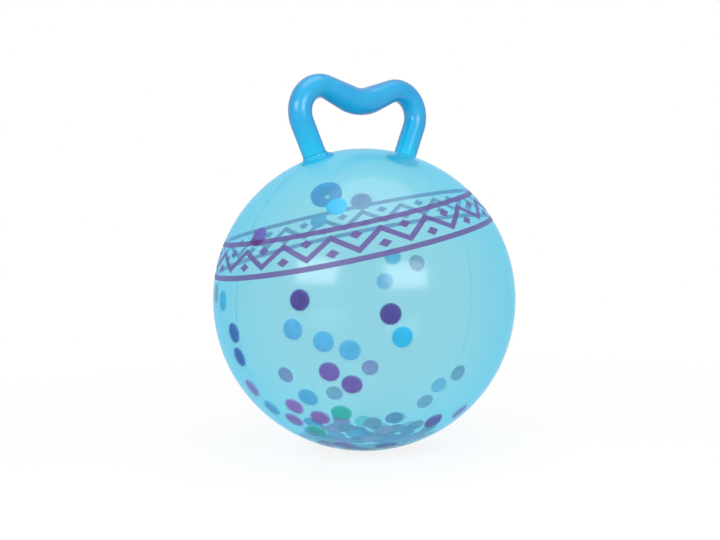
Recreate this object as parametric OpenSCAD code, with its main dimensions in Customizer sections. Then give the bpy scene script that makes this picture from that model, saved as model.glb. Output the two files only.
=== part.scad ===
// Hopper ball: a clear inflated ball with a bent loop handle on top, a plug valve behind it
// and thin confetti discs loose inside. Millimetres, +Z up, standing on the flat patch at the origin.

/* [Ball] */
// Outside radius of the inflated ball
ball_radius = 190; // [160:5:240]
// Thickness of the stretched skin
skin = 1.2; // [0.8:0.1:2]
// Radius of the flat patch that the soft ball stands on
rest_radius = 24; // [18:1:28]

/* [Handle] */
// Distance between the middles of the two feet
foot_spread = 140; // [120:2:160]
// Outward lean of each leg from the vertical, in degrees
leg_lean = 24; // [16:1:30]
// Straight length of each leg above the ball
leg_length = 47; // [35:1:60]
// Radius of the shoulder bend, at the middle of the tube
shoulder_radius = 32; // [26:1:38]
// Fall of the grip towards its middle, in degrees
grip_slope = 20; // [12:1:26]
// Radius of the dip in the middle of the grip, at the middle of the tube
dip_radius = 55; // [40:1:70]
// Diameter of the legs and shoulders
leg_diameter = 29; // [24:0.5:34]
// Diameter of the grip at its middle
grip_diameter = 33.5; // [28:0.5:38]
// Wall of the hollow handle
handle_wall = 3; // [2:0.25:4.5]
// Radius of the fillet that spreads each foot onto the ball
foot_fillet = 8; // [4:0.5:11]

/* [Valve] */
// Latitude of the valve on the ball, in degrees
valve_latitude = 47; // [42:1:54]
// Azimuth of the valve, in degrees from the front towards the right
valve_azimuth = 164; // [150:1:180]
// Diameter of the thick pad inside the skin
pad_diameter = 44; // [36:1:50]
// Thickness of the pad
pad_thickness = 8; // [5:0.5:12]
// Bevel round the inner edge of the pad
pad_bevel = 2.5; // [1:0.25:4]
// Diameter of the neck that passes through the skin
neck_diameter = 17; // [14:0.5:20]
// Height of the neck above the ball
neck_proud = 0.8; // [0.5:0.1:2]
// Diameter of the bore for the plug
bore_diameter = 8; // [6:0.5:10]
// Diameter of the head of the plug
head_diameter = 15; // [12:0.5:17]
// Height of the head of the plug
head_height = 3; // [2:0.25:5]
// Length of the plug past the inner face of the pad
tip_length = 3; // [2:0.5:5]

/* [Confetti] */
// Diameter of a confetti disc
disc_diameter = 24; // [18:0.5:26]
// Thickness of a confetti disc
disc_thickness = 0.4; // [0.2:0.05:0.8]
// Discs in the bottom, middle and top layers of the loose heap
heap_layers = [30, 18, 9]; // [3:1:30]
// Step of the spiral on which the discs are strewn, as a share of a disc
spiral_spread = 0.7; // [0.68:0.01:0.8]

/* [Clearances] */
// Gap at pieces that are welded to each other
weld_gap = 0.05; // [0.02:0.01:0.1]
// Running clearance of the plug in its bore, on the radius
plug_clearance = 0.05; // [0.02:0.01:0.1]
// Gap under the head of the plug
head_gap = 0.2; // [0.1:0.05:0.4]
// Gap between a disc and what it lies on
disc_gap = 0.3; // [0.2:0.05:0.4]

/* [Hidden] */
$fn = 96;

// Name, colour, and hand-set [latitude, azimuth] of the discs that cling to the wall
CONFETTI = [
  ["purple", [0.33, 0.25, 0.57], [[5, -61], [0, -30]]],
  ["violet", [0.45, 0.35, 0.65], [[-20, -52], [-25, -44], [27, -84], [-36, -172], [-36, 139], [-46, -2]]],
  ["navy", [0.24, 0.43, 0.67], [[-8, -94], [-17, -94]]],
  ["sky", [0.35, 0.69, 0.88],
    [[-5, -64], [-9, -53], [-12, -44], [-31, -63], [-39, -89], [32, 164], [3, 132], [-43, 95]]],
  ["cyan", [0.0, 0.71, 0.9], [[-8, -26], [39, -50], [3, -102], [14, 128]]],
  ["silver", [0.6, 0.68, 0.74], [[41, -39], [11, 117], [5, -112], [-36, 86], [-52, 98], [-48, 162]]],
  ["green", [0.27, 0.75, 0.71], [[-38, -50], [-50, -68]]],
  ["pink", [0.72, 0.4, 0.68], [[-36, -72], [-44, -78], [-41, -61], [-30, -95], [-44, 17]]]
];
COLOURS = len(CONFETTI);

quarter_turn = 90;

// Ball: the middle stands where the sphere, cut by the floor, leaves the flat patch
ball_z = sqrt(pow(ball_radius, 2) - pow(rest_radius, 2));
inner_radius = ball_radius - skin;
flat_depth = ball_z - skin;

// Handle: points on the right half of its centreline, seen from the front, from the middle of the ball
leg_radius = leg_diameter / 2;
grip_radius = grip_diameter / 2;
foot_angle = asin(foot_spread / 2 / ball_radius);
foot = ball_radius * [sin(foot_angle), cos(foot_angle)];
leg_top = foot + leg_length * [sin(leg_lean), cos(leg_lean)];
shoulder = leg_top + shoulder_radius * [-cos(leg_lean), sin(leg_lean)];
shoulder_turn = quarter_turn + grip_slope + leg_lean;
slope_start = shoulder + shoulder_radius * [-sin(grip_slope), cos(grip_slope)];
slope_length = (slope_start.x - dip_radius * sin(grip_slope)) / cos(grip_slope);
dip = [0, slope_start.y - slope_length * sin(grip_slope) + dip_radius * cos(grip_slope)];
foot_depth = 12;
bend_step = 0.1;
bend_lap = 1;

// Valve: heights along its own axis, from the middle of the ball
neck_top = ball_radius + neck_proud;
pad_inside = inner_radius - pad_thickness;
plug_radius = bore_diameter / 2 - plug_clearance;
plug_tip = pad_inside - tip_length;
head_seat = neck_top + head_gap;
groove_depth = 0.4;
groove_width = 1.2;
groove_pitch = 2.6;
groove_count = 3;

// Confetti: each layer is held in by the rims of its discs
disc_radius = disc_diameter / 2;
golden_angle = 137.5;
heap_turn = 90;
wall_rim = inner_radius - disc_gap;
first_rim = min(inside_of(wall_rim), flat_depth) - disc_gap;
rims = [first_rim, next_rim(first_rim), next_rim(next_rim(first_rim))];
spiral_step = spiral_spread * 2 * asin(disc_radius / wall_rim);
bed_edge = asin(rest_radius / inner_radius) + asin(disc_radius / wall_rim);
bed_first = ceil(pow(bed_edge / spiral_step, 2));
bed_last = heap_layers[0] + 1;

// Distance of a disc's flat outer face from the middle of the ball, for the radius its rim reaches
function face_of(rim) = sqrt(pow(rim, 2) - pow(disc_radius, 2));

// Nearest that a disc comes to the middle of the ball
function inside_of(rim) = face_of(rim) - disc_thickness;

// Rim of the next layer inwards
function next_rim(rim) = inside_of(rim) - disc_gap;

// Place number i of a spiral that starts at the bottom of the ball and winds one way (1) or the other (-1)
function strewn(i, way, turn) = [spiral_step * sqrt(i) - quarter_turn, way * golden_angle * i + turn];

// Puts the middle of the ball at the origin of what follows
module from_ball_centre() {
  translate([0, 0, ball_z]) children();
}

// Turns +Z outwards along the radius at a latitude and an azimuth
module along_radius(place) {
  from_ball_centre() rotate([quarter_turn - place[0], 0, place[1]]) children();
}

// Half outline of a ball with a flat bottom
module flattened_outline(radius, depth) {
  intersection() {
    circle(radius, $fn = 180);
    translate([0, -depth]) square([radius, depth + radius]);
  }
}

module ball_shell() {
  color([0.55, 0.85, 0.93, 0.4]) difference() {
    from_ball_centre() rotate_extrude($fn = 180) difference() {
      flattened_outline(ball_radius, ball_z);
      flattened_outline(inner_radius, flat_depth);
    }
    along_radius([valve_latitude, valve_azimuth])
      translate([0, 0, pad_inside]) cylinder(r = neck_diameter / 2 + weld_gap, h = neck_top - pad_inside);
  }
}

// Puts a piece at a point of the front view, its +Z turned clockwise from upright
module at(point, turn) {
  translate([point.x, 0, point.y]) rotate([0, turn, 0]) children();
}

// A hollow bend in the front view, from a start angle on; a hair slimmer than the straights that it
// runs into at both ends, so that no two faces coincide
module bend(centre, ring_radius, tube_radius, start, turn) {
  at(centre, 0) rotate([quarter_turn, 0, 0]) rotate(start - bend_lap)
    rotate_extrude(angle = turn + 2 * bend_lap) translate([ring_radius, 0]) difference() {
      circle(tube_radius - bend_step);
      circle(tube_radius - handle_wall + bend_step);
    }
}

// The straight that swells from the shoulder to the middle of the grip
module slope() {
  rotate_extrude() polygon([
    [leg_radius - handle_wall, 0],
    [leg_radius, 0],
    [grip_radius, slope_length],
    [grip_radius - handle_wall, slope_length]
  ]);
}

// The hollow leg along +Z, spread at its foot by a fillet that runs out onto the ball
module leg() {
  bore = leg_radius - handle_wall;
  reach = leg_radius + foot_fillet;
  rotate_extrude() {
    translate([bore, foot_fillet]) square([handle_wall, leg_length - foot_fillet]);
    difference() {
      translate([bore, -foot_depth]) square([reach - bore, foot_depth + foot_fillet]);
      translate([reach, foot_fillet]) circle(foot_fillet);
    }
  }
}

// The right half of the loop: leg, shoulder and slope
module half_loop() {
  at(foot, leg_lean) leg();
  bend(shoulder, shoulder_radius, leg_radius, -leg_lean, shoulder_turn);
  at(slope_start, -quarter_turn - grip_slope) slope();
}

module handle() {
  color([0.12, 0.62, 0.88]) from_ball_centre() difference() {
    union() {
      half_loop();
      rotate([0, 0, 180]) half_loop();
      bend(dip, dip_radius, grip_radius, -quarter_turn - grip_slope, 2 * grip_slope);
    }
    sphere(ball_radius + weld_gap, $fn = 180);
  }
}

module valve_body() {
  pad_radius = pad_diameter / 2;
  color([0.2, 0.5, 0.8]) along_radius([valve_latitude, valve_azimuth]) difference() {
    union() {
      intersection() {
        rotate_extrude() polygon([
          [0, pad_inside],
          [pad_radius - pad_bevel, pad_inside],
          [pad_radius, pad_inside + pad_bevel],
          [pad_radius, ball_radius],
          [0, ball_radius]
        ]);
        sphere(inner_radius - weld_gap, $fn = 180);
      }
      translate([0, 0, pad_inside + pad_bevel])
        cylinder(r = neck_diameter / 2, h = neck_top - pad_inside - pad_bevel);
    }
    translate([0, 0, pad_inside - tip_length])
      cylinder(r = bore_diameter / 2, h = neck_top - pad_inside + 2 * tip_length);
  }
}

// Stopper with a rounded tip, gripping grooves and a crowned head
module valve_plug() {
  head_radius = head_diameter / 2;
  crown = (pow(head_radius, 2) + pow(head_height, 2)) / (2 * head_height);
  color([0.88, 0.93, 0.96]) along_radius([valve_latitude, valve_azimuth]) {
    difference() {
      union() {
        translate([0, 0, plug_tip + plug_radius])
          cylinder(r = plug_radius, h = head_seat - plug_tip - plug_radius);
        translate([0, 0, plug_tip + plug_radius]) sphere(plug_radius);
        intersection() {
          translate([0, 0, head_seat]) cylinder(r = head_radius, h = head_height);
          translate([0, 0, head_seat + head_height - crown]) sphere(crown);
        }
      }
      for (i = [1 : groove_count]) translate([0, 0, neck_top - i * groove_pitch])
        difference() {
          cylinder(r = bore_diameter, h = groove_width);
          cylinder(r = plug_radius - groove_depth, h = groove_width);
        }
    }
  }
}

// One flat disc, its rim at a given distance from the middle of the ball
module disc(place, rim) {
  along_radius(place) translate([0, 0, inside_of(rim)])
    cylinder(r = disc_radius, h = disc_thickness, $fn = 48);
}

// Discs of one colour that cling to the wall, with those of the bed that the heap lies on
module wall_confetti(c) {
  color(CONFETTI[c][1]) {
    for (place = CONFETTI[c][2]) disc(place, wall_rim);
    for (i = [bed_first : bed_last]) if (i % COLOURS == c) disc(strewn(i, 1, 0), wall_rim);
  }
}

// Discs of one colour in the loose heap, layer upon layer; layers wind in turn one way and the other,
// so that no spiral shows through
module heap_confetti(c) {
  color(CONFETTI[c][1])
    for (layer = [0 : len(heap_layers) - 1])
      for (i = [1 : heap_layers[layer]])
        if ((i + 3 * layer) % COLOURS == c)
          disc(strewn(i, layer % 2 == 0 ? -1 : 1, heap_turn * (layer + 1)), rims[layer]);
}

ball_shell();
handle();
valve_body();
valve_plug();
for (c = [0 : COLOURS - 1]) {
  wall_confetti(c);
  heap_confetti(c);
}
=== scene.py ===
# %% [markdown]
# # A clear hopper ball with confetti inside
# This inflated ball is made to sit on and bounce, with a loop on top to hold. Its skin is
# see-through sky blue vinyl with a purple band printed round it, and foil discs lie loose inside.
# The solids of the part are the fixed frame. Every piece below is built in metres in that same
# frame, so nothing has to be fitted by eye.

# %% Frame
import math
import random

import bpy
from mathutils import Matrix, Quaternion, Vector


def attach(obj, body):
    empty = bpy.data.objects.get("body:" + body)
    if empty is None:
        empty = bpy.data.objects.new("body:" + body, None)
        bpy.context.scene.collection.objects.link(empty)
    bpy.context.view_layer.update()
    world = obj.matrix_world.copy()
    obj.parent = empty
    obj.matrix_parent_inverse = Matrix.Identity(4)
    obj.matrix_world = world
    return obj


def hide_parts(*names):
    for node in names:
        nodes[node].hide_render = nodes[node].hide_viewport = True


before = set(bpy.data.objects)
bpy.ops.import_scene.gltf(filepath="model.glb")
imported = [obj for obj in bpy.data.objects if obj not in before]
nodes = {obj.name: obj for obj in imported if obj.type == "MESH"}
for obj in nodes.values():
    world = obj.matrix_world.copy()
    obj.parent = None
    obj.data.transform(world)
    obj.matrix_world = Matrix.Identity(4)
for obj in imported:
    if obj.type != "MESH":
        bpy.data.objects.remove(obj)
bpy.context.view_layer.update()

# %% [markdown]
# The ball is a sphere that stands on a small flat patch, because the soft skin gives way on the
# floor. Its radius and the patch's radius settle how high the middle is. Almost everything is
# placed from that middle, in a direction given by latitude and azimuth as on a globe.

# %% Sizes of the ball
BALL_RADIUS = 0.190
REST_RADIUS = 0.024
MIDDLE = Vector((0, 0, math.sqrt(BALL_RADIUS**2 - REST_RADIUS**2)))


def outward(latitude, azimuth):
    """Direction from the middle, with azimuth counted from the front towards the right."""
    lat, az = math.radians(latitude), math.radians(azimuth)
    return Vector((math.sin(az) * math.cos(lat), -math.cos(az) * math.cos(lat), math.sin(lat)))


print("middle of the ball at", round(MIDDLE.z, 4), "m")

# %% [markdown]
# The photograph is a long shot from just above the middle of the ball, off to the left. The camera
# looks at the middle, leans by a degree and is shifted a little, as a cropped picture is. Its angle
# of view was found from the outline of the ball and the loop. The shift is the ball's place in the
# picture, in pixels to the right of the picture's centre and above it.

# %% Camera
VIEW_AZIMUTH, VIEW_ELEVATION, VIEW_LEAN = -38.7, 5.0, 1.286
VIEW_DISTANCE = 7 * BALL_RADIUS
SENSOR_WIDTH, FOCAL_LENGTH = 36.0, 52.4
IMAGE_WIDTH, BALL_IMAGE_X, BALL_IMAGE_Y = 720, 4.3, -29.7


def add_object(name, data):
    """A new object in the scene, to hold a camera, a lamp or a mesh."""
    made = bpy.data.objects.new(name, data)
    bpy.context.scene.collection.objects.link(made)
    return made


def aim(thing, direction, distance):
    """Puts a camera or a lamp off the ball's middle in a direction, looking back at it."""
    thing.location = MIDDLE + direction * distance
    thing.rotation_mode = "QUATERNION"
    thing.rotation_quaternion = (-direction).to_track_quat("-Z", "Y")


lens = bpy.data.cameras.new("camera")
lens.sensor_width, lens.lens = SENSOR_WIDTH, FOCAL_LENGTH
lens.shift_x, lens.shift_y = -BALL_IMAGE_X / IMAGE_WIDTH, -BALL_IMAGE_Y / IMAGE_WIDTH
camera = add_object("camera", lens)
aim(camera, outward(VIEW_ELEVATION, VIEW_AZIMUTH), VIEW_DISTANCE)
lean = Quaternion((0, 0, 1), math.radians(-VIEW_LEAN))
camera.rotation_quaternion = camera.rotation_quaternion @ lean
bpy.context.scene.camera = camera
bpy.context.scene.view_settings.view_transform = "Standard"
print("camera at", tuple(round(x, 3) for x in camera.location))

# %% [markdown]
# Finishes are node trees. They could be clicked together in the shader editor, but a script has to
# spell out every node and link, which hides the idea. Wrapping a socket in a small class lets a
# mask be written as a sum: 1 - mask adds the Math node by itself. Every other kind of node comes
# from one method, which sets the node's options first and then fills or links its sockets. The Mix
# node has sockets of the same names for each kind of value, so its colours go by number.

# %% Shader sums
MIX_SHARE, MIX_COLOUR_A, MIX_COLOUR_B, MIX_COLOUR_RESULT = 0, 6, 7, 2


class Wire:
    """An output socket of a node tree that takes part in Python sums."""

    def __init__(self, socket):
        self.socket = socket
        self.tree = socket.id_data

    @classmethod
    def node(cls, tree, kind, options=None, sockets=None, output=0):
        """One output of a new node, after its options are set and its sockets filled."""
        made = tree.nodes.new("ShaderNode" + kind)
        for name, value in (options or {}).items():
            if name == "stops":
                for stop, (at, colour) in zip(made.color_ramp.elements, value):
                    stop.position, stop.color = at, colour
            else:
                setattr(made, name, value)
        for name, value in (sockets or {}).items():
            if isinstance(value, Wire):
                tree.links.new(value.socket, made.inputs[name])
            else:
                made.inputs[name].default_value = value
        return cls(made.outputs[output]) if made.outputs else None

    def math(self, operation, *others):
        values = dict(enumerate((self,) + others))
        return Wire.node(self.tree, "Math", {"operation": operation}, values)

    def __add__(self, other):
        return self.math("ADD", other)

    __radd__ = __add__

    def __mul__(self, other):
        return self.math("MULTIPLY", other)

    __rmul__ = __mul__

    def __sub__(self, other):
        return self.math("SUBTRACT", other)

    def __rsub__(self, other):
        return Wire.node(self.tree, "Math", {"operation": "SUBTRACT"}, {0: other, 1: self})

    def __pow__(self, other):
        return self.math("POWER", other)

    def over(self, level):
        """1 where the value is above a level, else 0."""
        return self.math("GREATER_THAN", level)

    def span(self, low, high, start=0.0, end=1.0):
        """The value's stretch from low to high, drawn out from start to end."""
        sockets = {"Value": self, "From Min": low, "From Max": high, "To Min": start, "To Max": end}
        return Wire.node(self.tree, "MapRange", {}, sockets)

    def ramp(self, edges, *colours):
        """A colour that runs from the first to the last as the value goes from edge to edge."""
        stops = list(zip(edges, colours))
        return Wire.node(self.tree, "ValToRGB", {"stops": stops}, {"Fac": self}, "Color")

    def blend(self, colour_a, colour_b):
        """A colour from a to b as the value goes from 0 to 1."""
        sockets = {MIX_SHARE: self, MIX_COLOUR_A: colour_a, MIX_COLOUR_B: colour_b}
        return Wire.node(self.tree, "Mix", {"data_type": "RGBA"}, sockets, MIX_COLOUR_RESULT)


print("a Wire offers", [name for name in vars(Wire) if not name.startswith("_")])

# %% [markdown]
# Every finish starts from an empty node tree and ends in its output node, and in between two
# shaders are mixed by a share. Colours are written as they look on a screen. Shaders count light
# evenly, which screens don't, so each colour is straightened out on its way in.

# %% Start and end of a finish


def mix(share, one, other):
    """Two shaders, with a share of the other that may be a number or a Wire."""
    return Wire.node(one.tree, "MixShader", {}, {0: share, 1: one, 2: other})


def start_finish(name):
    material = bpy.data.materials.new(name)
    material.use_nodes = True
    material.node_tree.nodes.clear()
    return material, material.node_tree


def end_finish(material, surface):
    Wire.node(material.node_tree, "OutputMaterial", {}, {"Surface": surface})
    print("finish", material.name, "has", len(material.node_tree.nodes), "nodes")
    return material


def rgb(*screen):
    """A colour as read from a screen, 0 to 255, in the linear form that shaders take."""
    shares = [c / 255 for c in screen]
    linear = [((s + 0.055) / 1.055) ** 2.4 if s > 0.04045 else s / 12.92 for s in shares]
    return tuple(linear) + (1.0,)


print("screen grey 128 is", round(rgb(128, 128, 128)[0], 3), "in a shader")

# %% [markdown]
# The studio is plain and white. A strong white surround would wash the colours out, so it is white
# only where the camera, a mirror or clear plastic looks at it. The light that falls on the ball is
# a calmer grey.

# %% Surround
AMBIENT = 0.58
WHITE = (1.0, 1.0, 1.0, 1.0)


def seen_directly(tree):
    """1 for rays from the camera, a mirror or clear plastic, else 0."""
    kinds = [Wire.node(tree, "LightPath", output="Is %s Ray" % kind)
             for kind in ("Camera", "Glossy", "Transmission")]
    return kinds[0].math("MAXIMUM", kinds[1]).math("MAXIMUM", kinds[2])


world = bpy.data.worlds.new("surround")
bpy.context.scene.world = world
world.use_nodes = True
tree = world.node_tree
tree.nodes.clear()
strength = seen_directly(tree).span(0.0, 1.0, AMBIENT, 1.0)
sky = Wire.node(tree, "Background", {}, {"Color": WHITE, "Strength": strength})
Wire.node(tree, "OutputWorld", {}, {"Surface": sky})
print("the surround lights with", AMBIENT, "of the white that it shows")

# %% [markdown]
# The floor is a large square of pale paper, a hair below the ball. To the camera it glows white as
# the surround does, fully so away from the ball, so it has a shadow but no horizon.

# %% Floor
FLOOR_SIZE, FLOOR_DROP = 40.0, 0.0004
FLOOR_WHITE_NEAR, SHADOW_FROM, SHADOW_TO = 0.86, 0.27, 0.9
PAPER = (0.9, 0.9, 0.9, 1.0)


def own_place(tree):
    """Where a point is on the piece, in metres."""
    return Wire.node(tree, "TexCoord", output="Object")


pale_floor, tree = start_finish("pale_floor")
paper = Wire.node(tree, "BsdfDiffuse", {}, {"Color": PAPER})
glow = Wire.node(tree, "Emission", {}, {"Color": WHITE, "Strength": 1.0})
far_off = Wire.node(tree, "VectorMath", {"operation": "LENGTH"}, {0: own_place(tree)}, "Value")
whiteness = far_off.span(SHADOW_FROM, SHADOW_TO, FLOOR_WHITE_NEAR, 1.0)
end_finish(pale_floor, mix(seen_directly(tree) * whiteness, paper, glow))

half = FLOOR_SIZE / 2
square = [(x * half, y * half, -FLOOR_DROP) for x, y in ((-1, -1), (1, -1), (1, 1), (-1, 1))]
floor_mesh = bpy.data.meshes.new("floor")
floor_mesh.from_pydata(square, [], [(0, 1, 2, 3)])
floor_mesh.materials.append(pale_floor)
floor = add_object("floor", floor_mesh)
print("floor of", FLOOR_SIZE, "m")

# %% [markdown]
# On glossy vinyl a lamp is seen as well as felt. Two soft boxes stand above the camera and show as
# the pale squares on the front of the ball, and a large round one overhead gives the pale patch on
# its top. Each is placed by the direction in which the ball sees it, which is easier than guessing
# coordinates.

# %% Lamps
FRONT_BOX = {"shape": "RECTANGLE", "distance": 2.0, "width": 1.05, "height": 0.60, "watts": 13}
TOP_BOX = {"shape": "ELLIPSE", "distance": 1.8, "width": 1.7, "height": 1.3, "watts": 12}


def soft_box(name, latitude, azimuth, shape, distance, width, height, watts):
    data = bpy.data.lights.new(name, "AREA")
    data.shape, data.size, data.size_y, data.energy = shape, width, height, watts
    lamp = add_object(name, data)
    aim(lamp, outward(latitude, azimuth), distance)
    print("lamp", name, "stands at", tuple(round(x, 2) for x in lamp.location))


soft_box("soft_box_left", latitude=24, azimuth=-74, **FRONT_BOX)
soft_box("soft_box_right", latitude=20, azimuth=-8, **FRONT_BOX)
soft_box("soft_box_overhead", latitude=80, azimuth=-6, **TOP_BOX)

# %% [markdown]
# A mesh piece is made from plain lists of corners and faces. It then gets its finish and its place
# on a body of the frame, and the solids that it stands for are hidden. One helper does this for all
# pieces, so that none of these is forgotten.

# %% Making a piece


def add_piece(name, corners, faces, finish, body, slot, stands_for=(), smooth=True):
    mesh = bpy.data.meshes.new(name)
    mesh.from_pydata([tuple(c) for c in corners], [], faces)
    mesh.validate()
    mesh.polygons.foreach_set("use_smooth", [smooth] * len(mesh.polygons))
    mesh.materials.append(finish)
    piece = add_object(name, mesh)
    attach(piece, body)
    if stands_for:
        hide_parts(*stands_for)
    print("piece", name, "has", len(mesh.polygons), "faces")


# %% [markdown]
# Corners alone show nothing until faces join them. Nearly every shape here is a stack of rows, such
# as the rings of a tube, so one helper stitches each row to the next. A row of one corner closes
# the shape in a tip. A lathe makes such rows by turning an outline round the upright axis.

# %% Stitching faces


def round_angles(steps):
    return [2 * math.pi * j / steps for j in range(steps)]


def rows_of(count, columns):
    """Corner numbers of a grid, row by row."""
    return [range(i * columns, (i + 1) * columns) for i in range(count)]


def stitch(rows, wrap=True):
    """Faces between neighbouring rows of corner numbers; wrap joins the ends of each row."""
    faces = []
    for low, high in zip(rows, rows[1:]):
        count = max(len(low), len(high))
        for j in range(count if wrap else count - 1):
            k = (j + 1) % count
            lower = low[j % len(low)], low[k % len(low)]
            upper = high[k % len(high)], high[j % len(high)]
            faces.append(tuple(dict.fromkeys(lower + upper)))
    return faces


def lathe(outline, steps, closed=False):
    """Corners and faces of a turned outline of (radius, height); a radius of 0 makes a tip."""
    corners, rows = [], []
    for radius, height in outline:
        turned = round_angles(steps) if radius > 0 else [0.0]
        rows.append(range(len(corners), len(corners) + len(turned)))
        corners += [Vector((radius * math.cos(a), radius * math.sin(a), height)) for a in turned]
    return corners, stitch(rows + rows[:1] if closed else rows)


print("a cone of 8 steps has", len(lathe([(0, 0), (1, 0), (0, 1)], 8)[1]), "faces")

# %% [markdown]
# A few tools serve all the finishes. Noise varies a colour or a height over the surface, at a scale
# in waves per metre. Relief tilts the light as if the surface rose and fell, without moving a
# corner. Slant tells how squarely a ray meets the surface. Plastic is a coloured body, and gloss
# the clear mirror on top of it.

# %% Tools for finishes
SMOOTH, EVEN, RICH = 1.0, 2.0, 3.0
SLANT_BLEND = 0.5


def noise(tree, place, scale, detail=EVEN):
    sockets = {"Vector": place, "Scale": scale, "Detail": detail}
    return Wire.node(tree, "TexNoise", {}, sockets, "Fac")


def relief(tree, height, strength, depth):
    sockets = {"Strength": strength, "Distance": depth, "Height": height}
    return Wire.node(tree, "Bump", {}, sockets)


def slant(tree):
    """0 where the surface faces the ray, 1 where the ray grazes it."""
    return Wire.node(tree, "LayerWeight", {}, {"Blend": SLANT_BLEND}, "Facing")


def plastic(tree, colour, roughness, bumps):
    sockets = {"Base Color": colour, "Roughness": roughness, "Normal": bumps}
    return Wire.node(tree, "BsdfPrincipled", {}, sockets)


def gloss(tree, roughness, bumps):
    sockets = {"Color": WHITE, "Roughness": roughness, "Normal": bumps}
    return Wire.node(tree, "BsdfGlossy", {}, sockets)


print("noise comes in details of", SMOOTH, EVEN, RICH)

# %% [markdown]
# The skin is soft vinyl about a millimetre thick. Most light goes straight through and takes a
# tint, some is spread as haze, and a little stays on the surface as milky blue. Haze is why discs
# that touch the skin look sharp and strong while those on the far wall look pale. A glass shader
# would bend light as a solid lens does, so thin skin is mixed instead: Transparent for the tint and
# Translucent for the haze. Where the skin is seen at a slant, light has more vinyl to cross, so a
# deeper pair takes over. Gloss lies on top and grows towards the rim, as on any smooth plastic.

# %% Skin finish
SKIN_TINT, SKIN_TINT_DEEP = rgb(219, 252, 255), rgb(132, 238, 255)
SKIN_HAZE, SKIN_HAZE_DEEP = rgb(165, 228, 242), rgb(92, 208, 244)
SKIN_BODY, SKIN_BODY_DEEP = rgb(44, 200, 248), rgb(32, 192, 248)
CLOUD_EDGES = 0.35, 0.65
HAZE_SHARE, DEEP_AT_RIM, DEEP_POWER = 0.43, 0.9, 2.0
BODY_AT_RIM, BODY_POWER, BODY_IN_CLOUDS, BODY_ROUGHNESS = 0.14, 4.0, 0.03, 0.45
GLOSS_AHEAD, GLOSS_AT_RIM, GLOSS_POWER, SKIN_ROUGHNESS = 0.032, 0.45, 7.0, 0.16
SKIN_CLOUDS, SKIN_WAVES, SKIN_GRAIN, SKIN_GRAIN_SHARE = 7.0, 16.0, 900.0, 0.01
SKIN_RELIEF, SKIN_DEPTH = 0.35, 0.002


def skin_finish():
    material, tree = start_finish("clear_skin")
    place, facing = own_place(tree), slant(tree)
    grain = noise(tree, place, SKIN_GRAIN, SMOOTH)
    height = noise(tree, place, SKIN_WAVES, SMOOTH) + SKIN_GRAIN_SHARE * grain
    bumps = relief(tree, height, SKIN_RELIEF, SKIN_DEPTH)
    films = []
    for tint, haze in ((SKIN_TINT, SKIN_HAZE), (SKIN_TINT_DEEP, SKIN_HAZE_DEEP)):
        straight = Wire.node(tree, "BsdfTransparent", {}, {"Color": tint})
        spread = Wire.node(tree, "BsdfTranslucent", {}, {"Color": haze})
        films.append(mix(HAZE_SHARE, straight, spread))
    film = mix(DEEP_AT_RIM * facing**DEEP_POWER, *films)
    cloud = noise(tree, place, SKIN_CLOUDS)
    colour = cloud.ramp(CLOUD_EDGES, SKIN_BODY, SKIN_BODY_DEEP)
    milkiness = BODY_AT_RIM * facing**BODY_POWER + BODY_IN_CLOUDS * cloud
    wall = mix(milkiness, film, plastic(tree, colour, BODY_ROUGHNESS, bumps))
    shine = GLOSS_AHEAD + GLOSS_AT_RIM * facing**GLOSS_POWER
    return end_finish(material, mix(shine, wall, gloss(tree, SKIN_ROUGHNESS, bumps)))


clear_skin = skin_finish()

# %% [markdown]
# A UV sphere with its bottom cut off would do for the skin, but the cut falls between its rings and
# has to be filled. Turning one outline puts a ring right on the edge: the flat patch, then an arc
# up to the top. Many even steps along the arc keep the highlights smooth. One sheet is enough,
# because the finish already stands for the thickness.

# %% Skin
ARC_STEPS, ROUND_STEPS = 120, 240

first_angle = math.asin(REST_RADIUS / BALL_RADIUS)
outline = [(0, 0), (REST_RADIUS / 2, 0)]
for i in range(ARC_STEPS):
    angle = first_angle + (math.pi - first_angle) * i / ARC_STEPS
    outline.append((BALL_RADIUS * math.sin(angle), MIDDLE.z - BALL_RADIUS * math.cos(angle)))
outline.append((0, MIDDLE.z + BALL_RADIUS))
add_piece("skin", *lathe(outline, ROUND_STEPS), clear_skin, "ball", "shell", ["ball_shell"])

# %% [markdown]
# Two halves of the mould met in the plane of the loop and left a fine raised line. A bump in the
# finish would vanish at the outline of the ball, where the real line shows best. So it is a thin
# bead that follows the ball in that plane and stops just before the ball lies flat.

# %% Parting line
BEAD_WIDE, BEAD_PROUD, BEAD_STEPS, BEAD_SIDES = 0.0004, 0.0002, 360, 6
BEAD_START = 1.2 * first_angle

corners = []
for i in range(BEAD_STEPS + 1):
    angle = BEAD_START + 2 * (math.pi - BEAD_START) * i / BEAD_STEPS
    away = Vector((math.sin(angle), 0, -math.cos(angle)))
    for turn in round_angles(BEAD_SIDES):
        across = Vector((0, BEAD_WIDE * math.sin(turn), 0))
        corners.append(MIDDLE + away * (BALL_RADIUS + BEAD_PROUD * math.cos(turn)) + across)
rows = rows_of(BEAD_STEPS + 1, BEAD_SIDES)
faces = stitch(rows) + [tuple(reversed(rows[0])), tuple(rows[-1])]
add_piece("parting_line", corners, faces, clear_skin, "ball", "shell")

# %% [markdown]
# The loop is of thicker and deeper blue vinyl. Its legs are clear, while the grip, which is moulded
# thicker, is cloudy: the mix of clear and solid follows the height. Its outline looks dark because
# a ray that grazes a tube runs a long way through the wall, so a darker body takes over at a slant.
# All of it fades to a clear film in the last millimetres above the ball, where the foot is welded
# to the skin.

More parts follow.
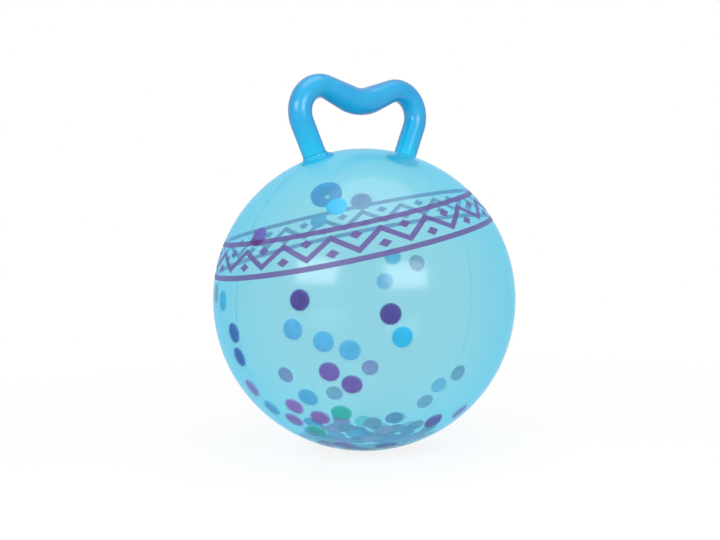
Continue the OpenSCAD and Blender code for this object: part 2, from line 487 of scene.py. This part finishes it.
# %% Loop finish
GRIP_TINT = rgb(44, 238, 255)
GRIP_BODY, GRIP_BODY_DEEP, GRIP_EDGE = rgb(14, 168, 220), rgb(8, 154, 212), rgb(10, 80, 162)
CLOUDY_FROM, CLOUDY_TO, LEG_SOLID, GRIP_SOLID = 0.372, 0.422, 0.26, 0.68
EDGE_DARK, EDGE_POWER, GRIP_BODY_ROUGHNESS = 0.95, 2.5, 0.3
GRIP_GLOSS_AHEAD, GRIP_GLOSS_AT_RIM, GRIP_GLOSS_POWER, GRIP_ROUGHNESS = 0.016, 0.25, 6.0, 0.16
GRIP_CLOUDS, GRIP_WAVES, GRIP_GRAIN, GRIP_GRAIN_SHARE = 22.0, 60.0, 1400.0, 0.02
GRIP_RELIEF, GRIP_DEPTH = 0.3, 0.001
WELD_CLEAR, WELD_FULL = 0.0002, 0.0016


def weld_share(tree, place):
    """0 on the ball, 1 from just above it."""
    ends = {0: place, 1: MIDDLE}
    from_middle = Wire.node(tree, "VectorMath", {"operation": "DISTANCE"}, ends, "Value")
    return (from_middle - BALL_RADIUS).span(WELD_CLEAR, WELD_FULL)


def grip_finish():
    material, tree = start_finish("blue_grip")
    place, facing = own_place(tree), slant(tree)
    grain = noise(tree, place, GRIP_GRAIN)
    height = noise(tree, place, GRIP_WAVES, SMOOTH) + GRIP_GRAIN_SHARE * grain
    bumps = relief(tree, height, GRIP_RELIEF, GRIP_DEPTH)
    clear = Wire.node(tree, "BsdfTransparent", {}, {"Color": GRIP_TINT})
    colour = noise(tree, place, GRIP_CLOUDS).ramp(CLOUD_EDGES, GRIP_BODY, GRIP_BODY_DEEP)
    body = plastic(tree, colour, GRIP_BODY_ROUGHNESS, bumps)
    edge = plastic(tree, GRIP_EDGE, GRIP_BODY_ROUGHNESS, bumps)
    level = Wire.node(tree, "SeparateXYZ", {}, {"Vector": place}, "Z")
    solid_share = level.span(CLOUDY_FROM, CLOUDY_TO, LEG_SOLID, GRIP_SOLID)
    wall = mix(EDGE_DARK * facing**EDGE_POWER, mix(solid_share, clear, body), edge)
    shine = GRIP_GLOSS_AHEAD + GRIP_GLOSS_AT_RIM * facing**GRIP_GLOSS_POWER
    full = mix(shine, wall, gloss(tree, GRIP_ROUGHNESS, bumps))
    weld = Wire.node(tree, "BsdfTransparent", {}, {"Color": SKIN_TINT})
    return end_finish(material, mix(weld_share(tree, place), weld, full))


blue_grip = grip_finish()

# %% [markdown]
# A curve with a round bevel would make the tube, but not the swelling grip with its exact arcs. So
# the line of the loop is worked out first, from the same lengths and angles as the solid: a leaning
# leg, a round shoulder, a slope and a dip in the middle. This cell finds where these meet on one
# half, counted from the middle of the ball.

# %% Bends of the loop
FOOT_SPREAD, LEG_LENGTH, LEG_LEAN = 0.140, 0.047, math.radians(24)
SHOULDER_RADIUS, GRIP_SLOPE, DIP_RADIUS = 0.032, math.radians(20), 0.055


def in_front_view(x, z):
    return Vector((x, 0, z))


foot = in_front_view(FOOT_SPREAD / 2, math.sqrt(BALL_RADIUS**2 - (FOOT_SPREAD / 2) ** 2))
leg_way = in_front_view(math.sin(LEG_LEAN), math.cos(LEG_LEAN))
leg_top = foot + leg_way * LEG_LENGTH
shoulder = leg_top + in_front_view(-leg_way.z, leg_way.x) * SHOULDER_RADIUS
slope_way = in_front_view(-math.cos(GRIP_SLOPE), -math.sin(GRIP_SLOPE))
slope_start = shoulder + in_front_view(slope_way.z, -slope_way.x) * SHOULDER_RADIUS
slope_length = (slope_start.x - DIP_RADIUS * math.sin(GRIP_SLOPE)) / math.cos(GRIP_SLOPE)
slope_end = slope_start + slope_way * slope_length
dip = in_front_view(0, slope_end.z + DIP_RADIUS * math.cos(GRIP_SLOPE))
print("the loop's slope is", round(slope_length, 4), "m long")

# %% [markdown]
# Points are now set along that half, close together in the bends. Each keeps the way that the line
# runs there and the tube's radius, which swells down the slope towards the hands.

# %% Line of the loop
LEG_TUBE, GRIP_TUBE, FOOT_FILLET = 0.0145, 0.01675, 0.008
STRAIGHT_STEPS, BEND_STEPS = 8, 24

half_line = []
for i in range(1, STRAIGHT_STEPS + 1):
    along = FOOT_FILLET + (LEG_LENGTH - FOOT_FILLET) * i / STRAIGHT_STEPS
    half_line.append((foot + leg_way * along, leg_way, LEG_TUBE))
for i in range(1, BEND_STEPS + 1):
    angle = (math.pi / 2 + GRIP_SLOPE + LEG_LEAN) * i / BEND_STEPS - LEG_LEAN
    spoke = in_front_view(math.cos(angle), math.sin(angle))
    way = in_front_view(-spoke.z, spoke.x)
    half_line.append((shoulder + spoke * SHOULDER_RADIUS, way, LEG_TUBE))
for i in range(1, STRAIGHT_STEPS + 1):
    share = i / STRAIGHT_STEPS
    swell = LEG_TUBE + (GRIP_TUBE - LEG_TUBE) * share
    half_line.append((slope_start + slope_way * slope_length * share, slope_way, swell))
for i in range(1, STRAIGHT_STEPS + 1):
    angle = GRIP_SLOPE * (1 - i / STRAIGHT_STEPS) - math.pi / 2
    spoke = in_front_view(math.cos(angle), math.sin(angle))
    way = in_front_view(spoke.z, -spoke.x)
    half_line.append((dip + spoke * DIP_RADIUS, way, GRIP_TUBE))
print("half the loop runs through", len(half_line), "points")

# %% [markdown]
# The tube is a ring of corners, set square to the line at each point. At the foot a fillet spreads
# it onto the ball. The ball is round and the leg leans, so each corner of the foot slides down its
# own line until it meets the ball: halving the stretch again and again finds that place.

# %% Foot of the loop
RING_SIDES, FOOT_STEPS, HALVINGS, FOOT_SEARCH = 56, 8, 40, 0.02
SIDEWAYS = Vector((0, 1, 0))


def spokes(way):
    """Directions round the line; the first points to the outer side of the loop."""
    side = in_front_view(way.z, -way.x)
    return [math.cos(t) * side + math.sin(t) * SIDEWAYS for t in round_angles(RING_SIDES)]


def foot_corner(spoke, height):
    """A corner at a height along the leg, on a fillet that spreads the tube."""
    rise = min(max(height, 0.0), FOOT_FILLET)
    spread = FOOT_FILLET - math.sqrt(FOOT_FILLET**2 - (FOOT_FILLET - rise) ** 2)
    return foot + leg_way * height + spoke * (LEG_TUBE + spread)


def foot_rings():
    """Rings from the ball up to the top of the fillet."""
    rings = [[] for _ in range(FOOT_STEPS + 1)]
    for spoke in spokes(leg_way):
        low, high = -FOOT_SEARCH, FOOT_FILLET
        for _ in range(HALVINGS):
            middle = (low + high) / 2
            inside = foot_corner(spoke, middle).length < BALL_RADIUS
            low, high = (middle, high) if inside else (low, middle)
        for i, ring in enumerate(rings):
            ring.append(foot_corner(spoke, high + (FOOT_FILLET - high) * i / FOOT_STEPS))
    return rings


half_rings = foot_rings()
print("the foot has", len(half_rings), "rings of", RING_SIDES, "corners")

# %% [markdown]
# The rest of the half follows its line, and the other half is a mirror image. A cap closes each end
# on the ball. As with the skin, one sheet stands for the wall.

# %% Loop
for point, way, radius in half_line:
    half_rings.append([point + radius * spoke for spoke in spokes(way)])
other_half = [[Vector((-c.x, c.y, c.z)) for c in ring] for ring in reversed(half_rings[:-1])]
rings = half_rings + other_half
corners = [MIDDLE + c for ring in rings for c in ring]
rows = [[len(corners)]] + rows_of(len(rings), RING_SIDES) + [[len(corners) + 1]]
corners += [MIDDLE + in_front_view(side * foot.x, foot.z) for side in (1, -1)]
add_piece("loop", corners, stitch(rows), blue_grip, "ball", "handle", ["handle"])

# %% [markdown]
# The valve sits behind the loop: a thick soft pad inside the skin, a neck through it and a milky
# stopper. All of it is plain moulded plastic, so one finish serves in two colours. Such plastic is
# never quite even: a slow noise mottles the colour and the roughness, and a fine one breaks up the
# highlights.

# %% Valve finishes
PAD_BLUE, PAD_SHADE, PAD_ROUGHNESS = rgb(20, 146, 214), rgb(12, 128, 202), 0.36
STOPPER_MILK, STOPPER_SHADE, STOPPER_ROUGHNESS = rgb(228, 240, 246), rgb(206, 226, 238), 0.34
MOTTLES_PER_METRE, MOTTLE_EDGES, MOTTLE_SPAN = 120.0, (0.3, 0.7), (0.2, 0.8)
SMOOTHER, ROUGHER = 0.06, 0.08
MOULD_GRAIN, MOULD_RELIEF, MOULD_DEPTH = 2200.0, 0.25, 0.0004
COAT_WEIGHT, COAT_ROUGHNESS = 0.2, 0.2


def moulded_finish(name, colour, shade, roughness):
    material, tree = start_finish(name)
    place = own_place(tree)
    mottle = noise(tree, place, MOTTLES_PER_METRE, RICH)
    body = Wire.node(tree, "BsdfPrincipled", {}, {
        "Base Color": mottle.ramp(MOTTLE_EDGES, colour, shade),
        "Roughness": mottle.span(*MOTTLE_SPAN, roughness - SMOOTHER, roughness + ROUGHER),
        "Coat Weight": COAT_WEIGHT, "Coat Roughness": COAT_ROUGHNESS,
        "Normal": relief(tree, noise(tree, place, MOULD_GRAIN), MOULD_RELIEF, MOULD_DEPTH)})
    return end_finish(material, body)


soft_pad = moulded_finish("soft_pad", PAD_BLUE, PAD_SHADE, PAD_ROUGHNESS)
milky_stopper = moulded_finish("milky_stopper", STOPPER_MILK, STOPPER_SHADE, STOPPER_ROUGHNESS)

# %% [markdown]
# Pad and neck are one turned part, so an outline round the valve's own axis gives them. The outline
# goes up the outside, over the neck and down the bore. Small bevels catch the light as moulded
# edges do. The upper side of the pad follows the inside of the skin.

# %% Valve pad
VALVE_LATITUDE, VALVE_AZIMUTH = 47, 164
SKIN_THICKNESS, SLIP = 0.0012, 0.00005
PAD_RADIUS, PAD_THICKNESS, PAD_BEVEL, BEVEL_BULGE, PAD_INWARD = 0.022, 0.008, 0.0025, 0.3, 0.6
NECK_RADIUS, NECK_PROUD, BORE_RADIUS = 0.0085, 0.0008, 0.004
EDGE, TURN_STEPS = 0.0004, 96

valve_way = outward(VALVE_LATITUDE, VALVE_AZIMUTH)
valve_turn = valve_way.to_track_quat("Z", "Y").to_matrix().to_4x4()
valve_frame = Matrix.Translation(MIDDLE) @ valve_turn
inner_wall = BALL_RADIUS - SKIN_THICKNESS
pad_inside = inner_wall - PAD_THICKNESS
neck_top = BALL_RADIUS + NECK_PROUD
bulge = PAD_BEVEL * BEVEL_BULGE


def under_skin(radius):
    """A point of the outline on the inside of the skin, at a distance from the valve's axis."""
    return radius, math.sqrt((inner_wall - SLIP) ** 2 - radius**2)


pad_outline = [
    (BORE_RADIUS, pad_inside + EDGE), (BORE_RADIUS + EDGE, pad_inside),
    (PAD_RADIUS - PAD_BEVEL, pad_inside), (PAD_RADIUS - bulge, pad_inside + bulge),
    (PAD_RADIUS, pad_inside + PAD_BEVEL), (PAD_RADIUS, under_skin(PAD_RADIUS)[1] - EDGE),
    under_skin(PAD_RADIUS - EDGE), under_skin(PAD_RADIUS * PAD_INWARD), under_skin(NECK_RADIUS),
    (NECK_RADIUS, neck_top - EDGE), (NECK_RADIUS - EDGE, neck_top),
    (BORE_RADIUS + EDGE, neck_top), (BORE_RADIUS, neck_top - EDGE)]
corners, faces = lathe(pad_outline, TURN_STEPS, closed=True)
corners = [valve_frame @ c for c in corners]
add_piece("valve_pad", corners, faces, soft_pad, "ball", "valve", ["valve_body"], smooth=False)

# %% [markdown]
# The stopper is pushed into the neck and pulled out by its head. It has a round tip, three grooves
# that grip the bore and a crowned head. It is turned from an outline like the pad, but rides on its
# own body of the frame, because it moves.

# %% Valve stopper
HEAD_RADIUS, HEAD_HEIGHT, HEAD_GAP, TIP_LENGTH = 0.0075, 0.003, 0.0002, 0.003
GROOVES, GROOVE_PITCH, GROOVE_WIDTH, GROOVE_DEPTH = 3, 0.0026, 0.0012, 0.0004
TIP_STEPS, CROWN_STEPS = 8, 12

stem = BORE_RADIUS - SLIP
tip = pad_inside - TIP_LENGTH + stem
stopper_outline = [(0, tip - stem)]
for i in range(1, TIP_STEPS + 1):
    angle = math.pi / 2 * i / TIP_STEPS
    stopper_outline.append((stem * math.sin(angle), tip - stem * math.cos(angle)))
for i in range(GROOVES, 0, -1):
    low = neck_top - i * GROOVE_PITCH
    top, floor_radius = low + GROOVE_WIDTH, stem - GROOVE_DEPTH
    stopper_outline += [(stem, low), (floor_radius, low), (floor_radius, top), (stem, top)]
seat = neck_top + HEAD_GAP
crown = (HEAD_RADIUS**2 + HEAD_HEIGHT**2) / (2 * HEAD_HEIGHT)
stopper_outline += [(stem, seat), (HEAD_RADIUS - EDGE, seat), (HEAD_RADIUS, seat + EDGE)]
for i in range(1, CROWN_STEPS):
    radius = HEAD_RADIUS * (1 - i / CROWN_STEPS)
    rise = HEAD_HEIGHT - crown + math.sqrt(crown**2 - radius**2)
    stopper_outline.append((radius, seat + rise))
stopper_outline.append((0, seat + HEAD_HEIGHT))
corners, faces = lathe(stopper_outline, TURN_STEPS)
corners = [valve_frame @ c for c in corners]
add_piece("valve_stopper", corners, faces, milky_stopper, "plug", "plug", ["valve_plug"],
          smooth=False)

# %% [markdown]
# The confetti is punched from coloured foil. Four of the colours are plain and four carry glitter,
# tiny flakes of which a few flash. Thousands of small faces would be slow, so a Voronoi texture
# gives every flake a cell with a random value, and the flakes with the highest values are painted
# lighter: partly the glitter's paler specks, partly painted glints for the flash. The blue skin
# takes red away, so the foils are redder than they look inside the ball.
# In the heap the real discs lie on each other, in shade that their own purple and blue have
# coloured. Here they keep a little apart, so that they can slide, and that shade is painted into
# the heap's foils instead: a painted shade makes them deeper and bluer.

# %% Confetti finishes
FOILS = {
    "purple": (rgb(96, 8, 122), True), "violet": (rgb(156, 66, 152), True),
    "navy": (rgb(44, 84, 158), False), "sky": (rgb(116, 166, 200), False),
    "cyan": (rgb(0, 172, 204), False), "silver": (rgb(132, 124, 152), True),
    "green": (rgb(70, 186, 164), False), "pink": (rgb(224, 100, 176), True)}
# Painted shade: each group's foil colours are multiplied by these. The wall's foils stay as they
# are, and the heap's are darkened, deeper and bluer, for the shade between its discs.
PAINTED_SHADE_BY_GROUP = {"wall_confetti": (1.0, 1.0, 1.0), "heap_confetti": (0.52, 0.36, 0.62)}
PALER, PALE_LIFT = 1.25, 0.02
FLAKES_PER_METRE, BRIGHT_FLAKES, FLAKE_SHINE = 1500.0, 0.9, 0.25
FLAKE_SPECK_AND_GLINT = (0.86, 0.84, 0.9, 1.0)
FOIL_CLOUDS, FOIL_WAVES, FOIL_RELIEF, FOIL_DEPTH = 60.0, 90.0, 0.1, 0.0004
FOIL_ROUGHNESS, FOIL_SPECULAR, GLITTER_METAL = 0.42, 0.12, 0.2


def foil_finish(name, colour, glitter, shade):
    material, tree = start_finish(name)
    place = own_place(tree)
    # The colour is multiplied by the group's painted shade, which darkens the heap's foils.
    colour = tuple(c * s for c, s in zip(colour, shade)) + (1.0,)
    pale = tuple(min(1.0, c * PALER + PALE_LIFT * s) for c, s in zip(colour, shade)) + (1.0,)
    base = noise(tree, place, FOIL_CLOUDS).ramp(MOTTLE_EDGES, colour, pale)
    # A few flakes are painted lighter: partly the glitter's own paler specks, partly painted
    # glints.
    if glitter:
        cells = {"Vector": place, "Scale": FLAKES_PER_METRE}
        flake = Wire.node(tree, "TexVoronoi", {}, cells, "Color")
        chance = Wire.node(tree, "SeparateColor", {}, {"Color": flake}, "Red")
        base = (FLAKE_SHINE * chance.over(BRIGHT_FLAKES)).blend(base, FLAKE_SPECK_AND_GLINT)
    body = Wire.node(tree, "BsdfPrincipled", {}, {
        "Base Color": base, "Roughness": FOIL_ROUGHNESS, "Specular IOR Level": FOIL_SPECULAR,
        "Metallic": GLITTER_METAL if glitter else 0.0,
        "Normal": relief(tree, noise(tree, place, FOIL_WAVES), FOIL_RELIEF, FOIL_DEPTH)})
    return end_finish(material, body)


foils = {}
for group, shade in PAINTED_SHADE_BY_GROUP.items():
    for name, (colour, glitter) in FOILS.items():
        node = group + "_" + name
        foils[node] = foil_finish("foil_" + node, colour, glitter, shade)

# %% [markdown]
# The solids hold each colour's discs as flat rounds. Copying their places into this script would be
# a second list to keep in step, so they are read from the solids: the mesh is welded by place and
# split into loose islands, one for each disc. An island gives the direction of its disc from the
# middle of the ball, how far out the rim reaches, and the disc's radius.

# %% Reading the discs
WELD_DIGITS = 6


def disc_islands(mesh):
    """Groups of corner places that hang together, one group for each disc."""
    names, links = {}, []

    def root(k):
        while links[k] != k:
            k = links[k]
        return k

    welded = []
    for corner in mesh.vertices:
        key = tuple(round(x, WELD_DIGITS) for x in corner.co)
        if key not in names:
            names[key] = len(links)
            links.append(len(links))
        welded.append(names[key])
    for face in mesh.polygons:
        first = root(welded[face.vertices[0]])
        for k in face.vertices[1:]:
            links[root(welded[k])] = first
    groups = {}
    for key, k in names.items():
        groups.setdefault(root(k), []).append(Vector(key) - MIDDLE)
    return list(groups.values())


def disc_facts(island):
    away = sum(island, Vector()).normalized()
    radius = max((p - away * p.dot(away)).length for p in island)
    reach = max(p.length for p in island)
    return away, reach, radius


purple_discs = disc_islands(nodes["wall_confetti_purple"].data)
print("the purple wall group holds", len(purple_discs), "discs")

# %% [markdown]
# Real foil follows the wall that it clings to, so each flat round is made again as a thin dished
# cap, bent a little more about a line across it. One flat cap of radius 1 is turned on the lathe,
# and its corners are moved to the place of each disc. The bend and its direction are drawn at
# random with a fixed seed, so every run gives the same confetti.

# %% Discs
FOIL_THICKNESS, LEAST_CURL, MOST_CURL = 0.00022, 0.000056, 0.00028
DISC_RINGS, DISC_SIDES, SEED = 5, 40, 11

chance_of = random.Random(SEED)
up_to_rim = [(i / DISC_RINGS, 0) for i in range(DISC_RINGS + 1)]
unit_cap, cap_faces = lathe(up_to_rim + [(r, 1) for r, _ in reversed(up_to_rim)], DISC_SIDES)


def dished_disc(away, reach, radius):
    """Corners of one thin cap that follows the wall."""
    curl, turn = chance_of.uniform(LEAST_CURL, MOST_CURL), chance_of.uniform(0, math.pi)
    upright = away.to_track_quat("Z", "Y").to_matrix()
    corners = []
    for c in unit_cap:
        bend = curl * (c.x * math.cos(turn) + c.y * math.sin(turn)) ** 2
        wall = math.sqrt(reach**2 - radius**2 * (c.x**2 + c.y**2))
        depth = wall - bend - FOIL_THICKNESS * (1 - c.z)
        corners.append(MIDDLE + upright @ Vector((c.x * radius, c.y * radius, depth)))
    return corners


for group in PAINTED_SHADE_BY_GROUP:
    for colour in FOILS:
        node = group + "_" + colour
        corners, faces = [], []
        for island in disc_islands(nodes[node].data):
            faces += [tuple(k + len(corners) for k in face) for face in cap_faces]
            corners += dished_disc(*disc_facts(island))
        add_piece("discs_" + node, corners, faces, foils[node], group, "confetti_" + colour,
                  [node], smooth=False)

# %% [markdown]
# The band is purple ink, printed on the outside of the skin and thin enough to let light through:
# on the far side of the ball it is lit from behind and looks pale. A Translucent share does that,
# and a slow noise wears the ink thin in places.

# %% Band finish
INK, INK_WORN, INK_LIT_THROUGH = rgb(104, 24, 100), rgb(116, 38, 114), rgb(176, 150, 214)
INK_COVER, INK_WEAR, LIT_SHARE = 0.82, 0.1, 0.48
PATCHES_PER_METRE, PATCH_EDGES, WORN_SPAN = 45.0, (0.35, 0.7), (0.5, 0.8)
SPECKS_PER_METRE, SPECK_SPAN, INK_ROUGHNESS = 1500.0, (0.3, 0.7), (0.3, 0.42)


def ink_finish():
    material, tree = start_finish("purple_ink")
    place = own_place(tree)
    patch = noise(tree, place, PATCHES_PER_METRE, RICH)
    speck = noise(tree, place, SPECKS_PER_METRE, SMOOTH)
    body = Wire.node(tree, "BsdfPrincipled", {}, {
        "Base Color": patch.ramp(PATCH_EDGES, INK, INK_WORN),
        "Roughness": speck.span(*SPECK_SPAN, *INK_ROUGHNESS),
        "Alpha": INK_COVER - INK_WEAR * patch.span(*WORN_SPAN)})
    lit_through = Wire.node(tree, "BsdfTranslucent", {}, {"Color": INK_LIT_THROUGH})
    return end_finish(material, mix(LIT_SHARE, body, lit_through))


purple_ink = ink_finish()

# %% [markdown]
# Painting the band in the skin's shader would blur its edges once the finish is baked to a picture,
# so it is a film of its own, a little off the skin. Its ring leans, because the ball was printed at
# an angle. A point of the film is given by its angle round that ring and its height above the
# ring's middle line, and every shape is a strip with a middle and a half height at each angle.

# %% Film on the ball
BAND_LEAN, BAND_LEAN_TO, BAND_LATITUDE = 11.1, -109.8, 28.2
FILM_GAP = 0.00012

band_axis = outward(90 - BAND_LEAN, BAND_LEAN_TO)
band_side = band_axis.orthogonal().normalized()
band_front = band_axis.cross(band_side)
film_radius = BALL_RADIUS + FILM_GAP
band_round = film_radius * math.cos(math.radians(BAND_LATITUDE))


def on_band(angle, height):
    lat = math.radians(BAND_LATITUDE) + height / BALL_RADIUS
    level = math.cos(angle) * band_side + math.sin(angle) * band_front
    return MIDDLE + film_radius * (math.cos(lat) * level + math.sin(lat) * band_axis)


def film_strip(corners, faces, points, closed=False):
    """Adds a strip through points of (angle, middle, half height); no height makes a tip."""
    rows = []
    for angle, middle, half_height in points:
        rises = (1, 0, -1) if half_height else (0,)
        rows.append(range(len(corners), len(corners) + len(rises)))
        corners += [on_band(angle, middle + rise * half_height) for rise in rises]
    faces += stitch(rows + rows[:1] if closed else rows, wrap=False)


print("the band's middle line is", round(2 * math.pi * band_round, 3), "m long")

# %% [markdown]
# The pattern is plain: two stripes, a zigzag between them and a lozenge in each of its pockets. The
# stripes and the zigzag run all the way round in even steps, and each repeat of the zigzag has two
# pockets.

# %% Band
STRIPE_AT, STRIPE_WIDTH = 0.0205, 0.0064
ZIGZAG_REACH, ZIGZAG_WIDTH, REPEATS = 0.0104, 0.0078, 18
LOZENGE_LONG, LOZENGE_HIGH, LOZENGE_AT = 0.0160, 0.0110, 0.0086
STEPS_PER_REPEAT, LOZENGE_STEPS = 24, 4


def zigzag_height(share):
    """Height of the zigzag's middle at a share of one repeat: down to the half, then up."""
    return ZIGZAG_REACH * (4 * abs(share - 0.5) - 1)


repeat_angle = 2 * math.pi / REPEATS
lozenge_turn = LOZENGE_LONG / 2 / band_round
turns = [(i / STEPS_PER_REPEAT % 1, repeat_angle * i / STEPS_PER_REPEAT)
         for i in range(REPEATS * STEPS_PER_REPEAT)]
corners, faces = [], []
for at in (-STRIPE_AT, STRIPE_AT):
    stripe = [(angle, at, STRIPE_WIDTH / 2) for _, angle in turns]
    film_strip(corners, faces, stripe, closed=True)
zigzag = [(angle, zigzag_height(share), ZIGZAG_WIDTH / 2) for share, angle in turns]
film_strip(corners, faces, zigzag, closed=True)
for i in range(REPEATS):
    for pocket, at in ((i, -LOZENGE_AT), (i + 0.5, LOZENGE_AT)):
        lozenge = []
        for step in range(-LOZENGE_STEPS, LOZENGE_STEPS + 1):
            share = step / LOZENGE_STEPS
            angle = pocket * repeat_angle + share * lozenge_turn
            lozenge.append((angle, at, LOZENGE_HIGH / 2 * (1 - abs(share))))
        film_strip(corners, faces, lozenge)
add_piece("printed_band", corners, faces, purple_ink, "ball", "confetti_violet")
print("band is", round(2 * STRIPE_AT + STRIPE_WIDTH, 3), "m high")

# %% [markdown]
